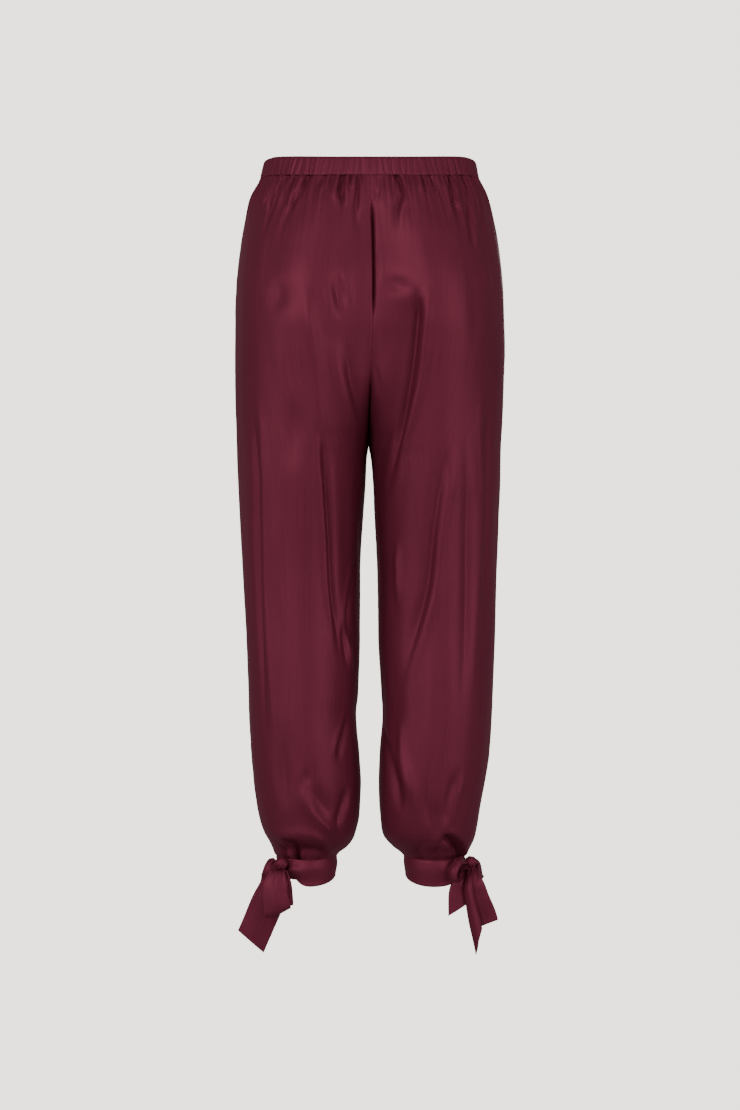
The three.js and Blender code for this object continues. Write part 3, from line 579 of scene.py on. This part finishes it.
# Gathers, in mm: puffs right under the waistband, longer flutes that fall from it, and tucks above the cuff.
PUFFS = {"count": 32, "height": 6.2, "reach": (10, 50), "crest": 0.5}
PUFFS_SUNK = 2.9  # how far the cloth between the puffs is drawn in
FLUTES = {"count": 11, "height": 2.8, "reach": (50, 120), "crest": 0.7}
TUCKS = {"count": 14, "height": 1.7, "reach": (7, 22), "crest": 0.7}
CUFF_INSET = 2.6  # how far the legs' ends are drawn in under the cuffs
CLEFT_DEEP = {"back": 7, "front": 1.5}  # the narrow groove along the centre seam
HANG = ((1.3, 44, 190), (0.5, 16, 75))  # slow unevenness of hanging cloth: its height, and its cells' size
SEAT = (-330, -140)  # creases that start between these heights belong to the back alone
MIRRORED_SHARE = 0.8  # how deep the front has its mirrored copies of the back's creases


def dip(y, z, face):
    """How far the waist seam and the rows below it dip towards the centre back."""
    back = np.clip((np.abs(y) - 50) / 56, 0, 1) if face == "back" else 0 * y
    return BAND_SAG * back ** 1.4 * ease(-95, BAND_BOTTOM, z)


def panel(side, face, seed):
    top = BAND_BOTTOM - GAP
    bottom = CUFF_TOP + GAP
    z = np.concatenate([np.linspace(top, FINE_ABOVE, 32, endpoint=False),
                        np.linspace(FINE_ABOVE, FINE_BELOW, 120, endpoint=False),
                        np.linspace(FINE_BELOW, bottom, 40)])
    s = np.linspace(0, 1, PANEL_COLUMNS[face])
    section = Section(side, face, s, z)
    share = np.repeat(s[None, :], len(z), axis=0)
    drop = top - section.z
    lift = section.z - bottom
    from_side = section.arc
    from_inner = section.length[:, None] - section.arc
    from_edge = np.minimum(from_side, from_inner)

    puffs = gathers(seed, share, drop, **PUFFS) * ease(-1.5, 2.5, drop)
    puffs -= PUFFS_SUNK * np.exp(-(drop / 24) ** 1.5) * ease(-1.5, 2.5, drop)
    flutes = gathers(seed + 1, share, drop, **FLUTES) * ease(0, 18, drop)
    tucks = gathers(seed + 2, share, lift, **TUCKS) * ease(-2, 4, lift)
    if face == "back":
        sunk = creased(section, side, CREASES)
    else:
        mirrored = [{**crease, "side": "left" if crease["side"] == "right" else "right",
                     "path": [(-x * 0.96 - 3, z + 4) for x, z in crease["path"]],
                     "depth": crease["depth"] * MIRRORED_SHARE, "lip": -crease["lip"] * MIRRORED_SHARE}
                    for crease in CREASES if not SEAT[0] < crease["path"][0][1] < SEAT[1]]
        sunk = creased(section, side, mirrored) + creased(section, side, FRONT_CREASES)
    hang = sum(height * rolling(seed + 3 + number, section.arc, section.z, *cells)
               for number, (height, *cells) in enumerate(HANG))
    hang *= ease(0, 60, drop) * ease(0, 40, lift)
    pucker = 0.3 * rolling(seed + 5, section.arc, section.z, 9, 7) * np.exp(-(from_edge / 7) ** 2)
    loose = (flutes + hang - sunk) * ease(0, 8, from_edge)
    cleft_high = ease(-50, -95, section.z) * ease(-232, -180, section.z)
    cleft_low = ease(-305, -345, section.z)
    groove = CLEFT_DEEP[face] * (cleft_high + cleft_low) * np.exp(-(from_inner / 1.8) ** 2)
    # above the crotch the two halves meet face to face, and their seam is pressed open and hardly shows
    free = 1 - ease(*CROTCH, section.z) * np.exp(-(from_inner / 14) ** 2)
    centre = ease(-375, -355, section.z) * ease(20, 6, from_inner)
    seam = (0.9 - 0.75 * centre) * np.exp(-from_edge / 1.2)
    held = BAND_INSET * ease(-55, BAND_BOTTOM, section.z)
    held += CUFF_INSET * ease(CUFF_HEM + 4, CUFF_HEM - 3, section.z)
    move = (loose + (puffs + tucks) * ease(0, 4, from_edge) + pucker - seam - held) * free
    x = section.x + section.out_x * move
    y = section.y + section.out_y * move
    y = y + groove * (1 if face == "back" else -1)
    points = np.stack([x, y, section.z - dip(section.y, section.z, face)], axis=2)
    away = -1 if side == "left" else 1
    # the two allowances of a seam are pressed to the same side, where they cross and close it
    above_crotch = ease(*CROTCH, z)[:, None]
    inwards = 1 if face == "back" else -1
    centre_turn = np.array([-0.6, 0.8 * inwards, 0] if side == "left" else [-0.85, 0.53 * inwards, 0])
    inseam_turn = np.array([0.87 * away, 0.5, 0] if face == "back" else [away, 0, 0])
    side_turn = np.array([[-0.5 * away, 0.87, 0] if face == "back" else [-0.9 * away, 0.44, 0]])
    inner_turn = above_crotch * centre_turn + (1 - above_crotch) * inseam_turn
    first = [points[:, 0] + side_turn * wide for wide in reversed(ALLOWANCE)]
    last = [points[:, -1] + inner_turn * wide for wide in ALLOWANCE]
    points = np.stack(first + [points[:, i] for i in range(len(s))] + last, axis=1)
    outward = np.zeros_like(points)
    outward[:, 3:-3, 0], outward[:, 3:-3, 1] = section.out_x, section.out_y
    # the waist seam's allowance stands up inside the waistband
    edge_z = section.z[0] - dip(section.y[0], section.z[0], face)
    plain = np.stack([section.x[0], section.y[0], edge_z], axis=1)
    tucked = plain - 4.6 * outward[0, 3:-3]
    start, stop = unit(tucked[0] - tucked[4]), unit(tucked[-1] - tucked[-5])
    ends = lambda row: np.vstack([row[0] + 3 * start, row[0] + 2 * start, row[0] + start, row,
                                  row[-1] + stop, row[-1] + 2 * stop, row[-1] + 3 * stop])
    up = np.array([0, 0, 1])
    points = np.concatenate([[ends(tucked + 5 * up), ends(tucked + 1.2 * up)], points])
    outward = np.concatenate([outward[:1], outward[:1], outward])
    piece = cloth_shell(f"{face}_{side}_satin", points, SATIN_THICK, leg_satin, outward)
    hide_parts(f"{face}_{side}")
    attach(piece, "root")


panel("left", "back", 11)
panel("right", "back", 23)
panel("left", "front", 37)
panel("right", "front", 51)


# ------------------------------------------------------------
# Waistband: a casing of the same satin, folded over a 25 mm elastic and sewn to the legs. The elastic draws
# it up into fine pleats all round, which stand nearly upright.

BAND_PLEATS = 98
BAND_STEPS = 1500
BAND_THICK = 1.6

# the quarters of the waist in turn, and whether each runs from its centre seam to its side seam
RING = (("left", "back", False), ("right", "back", True), ("right", "front", False), ("left", "front", True))


def ring_grid(z, steps):
    """The plain ring of the waist at the heights z: its points and the level directions out of it."""
    share = (np.arange(steps // 4) + 0.5) / (steps // 4)
    parts = []
    for side, face, reverse in RING:
        section = Section(side, face, share, z)
        level = section.z - dip(section.y, np.full_like(section.z, BAND_BOTTOM), face)
        grid = np.stack([section.x, section.y, level, section.out_x, section.out_y], axis=2)
        parts.append(grid[:, ::-1] if reverse else grid)
    return np.concatenate(parts, axis=1)


def band_surface(z, steps):
    """The gathered face of the band at the heights z."""
    grid = ring_grid(z, steps)
    turn = (np.arange(steps) / steps)[None, :]
    height = (z[:, None] - BAND_BOTTOM) / (BAND_TOP - BAND_BOTTOM)
    lean = -0.003 * np.sign(np.sin(4 * math.pi * turn)) * np.abs(np.sin(4 * math.pi * turn)) ** 0.6
    uneven = 0.0045 * rolling(8, turn + 0 * height, height + 0 * turn, 0.012, 2.0)
    share = (turn + (height - 0.5) * (lean + uneven)) % 1.0
    pleats = gathers(71, share, 0 * share, BAND_PLEATS, 2.1, (50, 60), 0.55)
    fine = gathers(72, share, 0 * share, int(BAND_PLEATS * 1.7), 0.45, (50, 60))
    belly = 0.5 * np.sin(math.pi * np.clip(height, 0, 1)) ** 0.6
    pinched = 0.4 * np.exp(-((height - 0.045) / 0.04) ** 2)
    folded = 1.2 * ease(0.93, 1.02, height) ** 2
    out = pleats * (1 - 0.35 * ease(0.9, 1.0, height)) + fine + belly - pinched - folded - BAND_INSET - 0.4
    points = grid[:, :, :3].copy()
    points[:, :, 0] += grid[:, :, 3] * out
    points[:, :, 1] += grid[:, :, 4] * out
    outward = np.concatenate([grid[:, :, 3:5], np.zeros_like(grid[:, :, :1])], axis=2)
    return points, outward


band_satin = satin("band_satin", WINE_DEEP, WINE_BRIGHT, 0.47, 0.00012)
band_rows = [0, 0.5, 0.9, 1.5, 2.5, 4.5, 7.5, 10.5, 13.5, 16.5, 19.5, 22, 23.7, 24.5, 25]  # up from its edge
band_heights = BAND_BOTTOM + np.array(band_rows)
band_points, band_out = band_surface(band_heights, BAND_STEPS)
band = cloth_shell("waistband_satin", band_points, BAND_THICK, band_satin, band_out, ring=True)
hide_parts("waistband")
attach(band, "root")


# ------------------------------------------------------------
# Waist seam: a row of lockstitches in wine-red thread along the lower edge of the waistband, which holds the
# legs' gathers to it.

STITCH_LONG = 0.0022
STITCH_PITCH = 0.0034
THREAD_RADIUS = 0.00022


def thread_finish():
    finish = Finish("thread")
    place = finish.node("ShaderNodeTexCoord", {}, {}, "Object")
    twist = finish.node("ShaderNodeTexNoise", {}, {"Vector": place, "Scale": 2200.0, "Detail": 1.0})
    finish.feed("Base Color", finish.mix(twist, (0.050, 0.006, 0.013, 1), (0.105, 0.016, 0.030, 1)))
    finish.shader.inputs["Roughness"].default_value = 0.6
    return finish.material


def stitch_tree(material):
    """Geometry nodes: short lengths of thread set along a seam's path."""
    tree = bpy.data.node_groups.new("stitches", "GeometryNodeTree")
    tree.interface.new_socket("Path", in_out="INPUT", socket_type="NodeSocketGeometry")
    sizes = {}
    for name, value in (("Pitch", STITCH_PITCH), ("Length", STITCH_LONG), ("Thread radius", THREAD_RADIUS)):
        socket = tree.interface.new_socket(name, in_out="INPUT", socket_type="NodeSocketFloat")
        socket.default_value = value
        sizes[name] = socket.identifier
    tree.interface.new_socket("Stitches", in_out="OUTPUT", socket_type="NodeSocketGeometry")

    def node(kind, inputs=(), **settings):
        made = tree.nodes.new(kind)
        for key, value in settings.items():
            setattr(made, key, value)
        for key, value in dict(inputs).items():
            if isinstance(value, bpy.types.NodeSocket):
                tree.links.new(value, made.inputs[key])
            else:
                made.inputs[key].default_value = value
        return made

    entry = node("NodeGroupInput")
    curve = node("GeometryNodeMeshToCurve", {"Mesh": entry.outputs["Path"]})
    spots = node("GeometryNodeCurveToPoints", mode="LENGTH",
                 inputs={"Curve": curve.outputs["Curve"], "Length": entry.outputs["Pitch"]})
    bead = node("GeometryNodeMeshUVSphere", {"Segments": 6, "Rings": 5, "Radius": 1.0})
    half = node("ShaderNodeMath", {0: entry.outputs["Length"], 1: 0.5}, operation="MULTIPLY")
    radius = entry.outputs["Thread radius"]
    scale = node("ShaderNodeCombineXYZ", {"X": radius, "Y": radius, "Z": half.outputs[0]})
    laid = node("GeometryNodeInstanceOnPoints", {
        "Points": spots.outputs["Points"], "Instance": bead.outputs["Mesh"],
        "Rotation": spots.outputs["Rotation"], "Scale": scale.outputs[0]})
    real = node("GeometryNodeRealizeInstances", {"Geometry": laid.outputs["Instances"]})
    smooth = node("GeometryNodeSetShadeSmooth", {"Geometry": real.outputs["Geometry"]})
    done = node("GeometryNodeSetMaterial", {"Geometry": smooth.outputs["Geometry"], "Material": material})
    node("NodeGroupOutput", {"Stitches": done.outputs["Geometry"]})
    return tree, sizes


def stitched(name, path, tree, sizes):
    """A row of stitches along a closed path, as a plain mesh."""
    mesh = bpy.data.meshes.new(name + "_path")
    count = len(path)
    mesh.from_pydata((path * MM).tolist(), [(i, (i + 1) % count) for i in range(count)], [])
    guide = bpy.data.objects.new(name + "_path", mesh)
    bpy.context.scene.collection.objects.link(guide)
    made = guide.modifiers.new("stitches", "NODES")
    made.node_group = tree
    made[sizes["Pitch"]] = STITCH_PITCH
    made[sizes["Length"]] = STITCH_LONG
    made[sizes["Thread radius"]] = THREAD_RADIUS
    seen = guide.evaluated_get(bpy.context.evaluated_depsgraph_get())
    plain = bpy.data.meshes.new_from_object(seen)
    plain.name = name
    bpy.data.objects.remove(guide)
    piece = bpy.data.objects.new(name, plain)
    bpy.context.scene.collection.objects.link(piece)
    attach(piece, "root")
    return piece


thread = thread_finish()
stitches, stitch_sizes = stitch_tree(thread)
seam_points, seam_out = band_surface(BAND_BOTTOM + np.array([1.0, 1.1]), BAND_STEPS)
waist_stitches = stitched("waist_stitches", seam_points[0] + 0.15 * seam_out[0], stitches, stitch_sizes)


# ------------------------------------------------------------
# Cuffs: a band of doubled satin round each ankle, with a rounded lower edge. Its two ends are drawn together
# and run on into the ties, which pucker it towards the knot.

CUFF_DEEP = 19.5
CUFF_DROP = 12.5
CUFF_Y = -4
CUFF_HALF = (41.5, 45.3)
CUFF_THICK = 1.5
DRAWN_REACH = 0.42  # how far round the cuff its ends are drawn in, in radians
KNOTS = {
    "left": {"angle": 48, "out": 9.25, "z": -955, "cuff_x": -87.25},
    "right": {"angle": 12, "out": 9.75, "z": -957, "cuff_x": 87},
}
cuff_satin = satin("cuff_satin", WINE_DEEP, WINE_BRIGHT, 0.47, 0.0002)


def cuff(side, seed):
    knot = KNOTS[side]
    away = -1 if side == "left" else 1
    angle = np.linspace(0, 2 * math.pi, 320, endpoint=False)[None, :]
    down = np.concatenate([np.linspace(0, 0.9, 28, endpoint=False), np.linspace(0.9, 1, 8)])[:, None]
    from_knot = (angle - math.radians(knot["angle"]) + math.pi) % (2 * math.pi) - math.pi
    drawn = np.exp(-(from_knot / DRAWN_REACH) ** 2)
    low = CUFF_TOP - CUFF_DEEP - CUFF_DROP * np.sqrt(np.sin(angle) ** 2 + 0.02) * (1 - drawn) + 5 * drawn
    high = CUFF_HEM - 3.0 * np.sin(angle) ** 2
    z = high + (low - high) * down
    taper = 1 - 0.05 * ease(0.3, 1, down)
    fanned = 3.0 * np.exp(-(from_knot / 0.8) ** 2) * (1 - 0.6 * drawn)
    fan = fanned * np.sin(6.5 * from_knot / (0.25 + np.abs(from_knot)) + 7.5 * down)
    slack = 0.8 * rolling(seed, angle * 42 + 0 * down, z + 0 * angle, 24, 14) * np.sin(math.pi * down) ** 0.5
    rolled = -0.9 * ease(0.93, 1, down) ** 2 - 1.2 * np.exp(-down / 0.05)
    out = fan + slack + rolled + 1.5 * drawn * np.sin(math.pi * down)
    x = knot["cuff_x"] + away * (CUFF_HALF[0] * taper + out) * np.cos(angle)
    y = CUFF_Y - (CUFF_HALF[1] * taper + out) * np.sin(angle)
    points = np.stack([x, y, z + 0 * x], axis=2)
    outward = np.stack([away * np.cos(angle) + 0 * x, -np.sin(angle) + 0 * x, 0 * x], axis=2)
    piece = cloth_shell(f"cuff_{side}_satin", points, CUFF_THICK, cuff_satin, outward, ring=True)
    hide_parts(f"cuff_{side}")
    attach(piece, "root")


cuff("left", 91)
cuff("right", 93)


# ------------------------------------------------------------
# Bows: the cuff's ends, each a tube of satin pressed flat to a 45 mm tie with a slanting end, tied in a bow
# at the outer side of the ankle. Each tie is bunched where the knot grips it, and opens out from there.

KNOT_SIZE = (9, 8, 9.5)
KNOT_CLEARANCE = 0.3
TIE_THICK = 1.1
TIE_STEPS, TIE_COLUMNS = 100, 37
ROOT_WIDTH = 9  # of a tie where the knot grips it
OPENS_WITHIN = 22  # from the knot a tie opens to its shape across
CREASED_WITHIN = 17  # from the knot a tie is creased by its grip
KNOT_WRAP = {"left": (0.75, 0.1, -0.65), "right": (0.9, 0.3, 0.3)}  # across the turns of the knot
tie_satin = satin("tie_satin", WINE_DEEP, WINE_BRIGHT, 0.45, 0.0002)

# Each tie's path as its solid has it, eased to the way the cloth falls: rows of x, y, z, its width there, and
# the direction across it, in mm. root and back are the directions in which it leaves the knot and comes back
# to it. slant is the share of its length that one edge lacks at the cut end. ripple is how deep the knot
# creases it, and flat its length and width laid flat, in metres. ARCHED and FOLDED are shapes across: the
# share of the half-width, how far it stands out, and the share of the slant there.
ARCHED = [(-1, 0, 0), (0, 2.5, 0.5), (1, 0, 1)]
FOLDED = {"tail_right_b": [(-1, 1, 0), (-0.6, 8, 0.4), (-0.16, 3, 0.84), (-0.24, -3, 0.88), (1, -1, 1)]}
TIES = table("name slant ripple root back across flat path", [
    ("loop_left_a", 0, 0.6, (-0.25, -0.45, -0.86), (-0.28, -0.1, -0.94), (1, 0, 0), (0.135, 0.036), [
        (-125, -56, -966, 19, 1, 0, 0), (-129, -61, -980, 31, 1, 0, 0.05),
        (-129, -63, -1000, 34, 1, 0, 0.1), (-126, -62, -1016, 37, 1, 0, 0.35),
        (-125, -56, -1020, 36, 1, 0, 0.4), (-127, -50, -1009, 34, 1, 0, 0.3),
        (-128, -49, -990, 28, 1, 0, 0.05),
    ]),
    ("loop_left_b", 0, 0.7, (-0.7, 0.72, -0.1), (-0.4, 0.62, -0.7), (0.45, 0.9, 0), (0.11, 0.03), [
        (-138, -21, -971, 18, 0.2, 1, 0), (-141, -14, -994, 26, 0.1, 1, 0),
        (-139, -12, -1010, 28, 0.1, 1, 0), (-134, -12, -1008, 28, 0.1, 1, 0),
        (-132, -15, -992, 24, 0.1, 1, 0), (-132, -24, -972, 13, 0.3, 1, 0),
    ]),
    ("tail_left_a", 0.11, 0.9, (-0.8, 0.02, 0.5), None, (0.2, 0.1, -1), (0.125, 0.045), [
        (-133, -41, -957, 21, 0.3, 0, -0.95), (-133, -39, -970, 31, 0.8, 0, -0.6),
        (-133, -36, -986, 37, 0.91, 0, -0.42), (-141, -35.5, -1010, 44.5, 0.91, 0, -0.42),
        (-153, -35, -1039, 44.5, 0.91, 0, -0.42), (-166, -34.5, -1069, 44.5, 0.91, 0, -0.42),
    ]),
    ("tail_left_b", -0.14, 0.8, (0.3, 0.25, -0.92), None, (1, 0.1, 0), (0.062, 0.028), [
        (-117, -42.9, -982, 19, 1, 0.1, 0), (-118, -41.5, -1000, 25, 1, 0.1, 0.1),
        (-118, -41.5, -1020, 27, 1, 0.1, 0.1),
    ]),
    ("loop_right_a", 0, 0.4, (-0.55, -0.8, 0.2), (-0.5, -0.7, -0.5), (0.6, -0.3, -0.7), (0.08, 0.02), [
        (122, -47, -951, 12, 0.6, -0.3, -0.75), (115, -56, -957, 13, 0.8, -0.4, -0.5),
        (112, -59, -966, 12, 1, -0.3, -0.1), (113, -57, -975, 11, 0.9, -0.4, 0.2),
        (118, -49, -977, 10, 0.6, -0.7, 0.4), (123, -41, -966, 10, 0.5, -0.8, 0.3),
    ]),
    ("loop_right_b", 0, 0.5, (0.8, 0.55, 0), (0.75, 0.6, -0.2), (0.1, 1, 0.3), (0.075, 0.03), [
        (146, -9, -958, 22, 0.1, 1, 0.1), (150, -4, -966, 31, 0.2, 1, 0.05),
        (151, -1, -980, 32, 0.25, 1, 0), (147, 0, -980, 30, 0.25, 1, 0), (144, -7, -965, 22, 0.2, 1, 0),
    ]),
    ("tail_right_a", -0.22, 0.9, (-0.1, -0.35, -0.93), None, (1, 0.3, 0), (0.068, 0.028), [
        (124, -32, -980, 20, 1, 0.1, 0), (119, -34, -996, 25, 1, 0.1, 0),
        (118, -36, -1028, 24, 1, 0.05, 0),
    ]),
    ("tail_right_b", -0.34, 0.9, (0.2, -0.75, -0.63), None, (1, 0, 0), (0.125, 0.04), [
        (141, -36, -980, 25, 1, 0, 0), (145, -38, -1002, 33, 1, 0, 0), (154, -37, -1036, 40, 1, 0, 0),
        (160, -36, -1078, 34, 1, 0, 0),
    ]),
])


def knot_middle(side):
    """The middle of a wound knot, beside its cuff."""
    place = KNOTS[side]
    angle = math.radians(place["angle"])
    away = -1 if side == "left" else 1
    return np.array([place["cuff_x"] + away * (CUFF_HALF[0] + place["out"]) * math.cos(angle),
                     CUFF_Y - (CUFF_HALF[1] + place["out"]) * math.sin(angle), place["z"]])


def on_knot(side, direction):
    """The point where a tie leaves its knot in a given direction."""
    outward = unit(np.array(direction))
    return knot_middle(side) + outward * (1 / np.linalg.norm(outward / KNOT_SIZE) + KNOT_CLEARANCE)


def knot(side):
    """The wound tie: an egg of cloth, whose turns lie side by side across it."""
    middle = knot_middle(side)
    polar = np.linspace(0.04, math.pi - 0.04, 60)[:, None]
    turn = np.linspace(0, 2 * math.pi, 96, endpoint=False)[None, :]
    u = np.stack([np.sin(polar) * np.cos(turn), np.sin(polar) * np.sin(turn), np.cos(polar) + 0 * turn],
                 axis=2)
    across = u @ unit(np.array(KNOT_WRAP[side]))
    wobble = 0.35 * np.sin(2.2 * polar + 3 * turn)
    wrap = np.abs(np.sin(1.5 * math.pi * across + wobble + 0.9)) ** 0.6
    size = 1 / np.linalg.norm(u / np.array(KNOT_SIZE), axis=2)
    points = middle + u * (size * (0.93 + 0.11 * (wrap - 0.5)))[:, :, None]
    piece = cloth_shell(f"knot_{side}_satin", points, TIE_THICK, tie_satin, u, ring=True)
    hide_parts(f"knot_{side}")
    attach(piece, "root")


def tie(shape, seed):
    """A pressed tube of satin along its path, with a loop's two ends in the knot."""
    name = shape["name"]
    side = "left" if "left" in name else "right"
    is_loop = shape["back"] is not None
    in_knot = lambda end: [(*on_knot(side, shape[end]), ROOT_WIDTH, *shape["across"])]
    path = spline(in_knot("root") + shape["path"] + (in_knot("back") if is_loop else []), 600)
    run = np.concatenate([[0], np.cumsum(np.linalg.norm(np.diff(path[:, :3], axis=0), axis=1))])
    v = np.linspace(-1, 1, TIE_COLUMNS)[None, :]
    aside, lift, cut = spline(FOLDED.get(name, ARCHED), TIE_COLUMNS).T
    short = abs(shape["slant"]) * (cut if shape["slant"] < 0 else 1 - cut)
    down = np.linspace(0, 1, TIE_STEPS)[:, None] * (1 - short) * run[-1]
    at = np.stack([np.interp(down, run, column) for column in path.T], axis=2)
    slopes = np.gradient(path[:, :3], axis=0)
    along = unit(np.stack([np.interp(down, run, slope) for slope in slopes.T], axis=2))
    facing = unit(np.cross(along, at[:, :, 4:7]))
    over = np.cross(facing, along)
    from_knot = np.minimum(down, run[-1] - down) if is_loop else down
    opened = 1 - np.exp(-(from_knot / OPENS_WITHIN) ** 2)
    aside = v + (aside - v) * opened
    points = at[:, :, :3] + over * (aside * at[:, :, 3] / 2)[:, :, None]
    points += facing * (lift * opened)[:, :, None]
    phase = np.random.default_rng(seed).uniform(0, 6.28, 2)
    gripped = np.exp(-(from_knot / CREASED_WITHIN) ** 1.6) * ease(0, 5, from_knot)
    creases = gripped * (np.cos(3.1 * math.pi * v + phase[0]) + 0.6 * np.cos(5.2 * math.pi * v + phase[1]))
    slack = 0.7 * rolling(seed, v * 16 + 0 * down, down, 13, 26) * ease(4, 20, from_knot)
    normal = surface_normals(points, False)
    points = points + normal * (shape["ripple"] * creases + slack)[:, :, None]
    outward = normal if np.sum(normal[TIE_STEPS // 3, :, 1]) < 0 else -normal
    piece = cloth_shell(f"{name}_satin", points, TIE_THICK, tie_satin, outward)
    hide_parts(name)
    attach(piece, "root")


for side in ("left", "right"):
    knot(side)
for number, shape in enumerate(TIES):
    tie(shape, 200 + number)
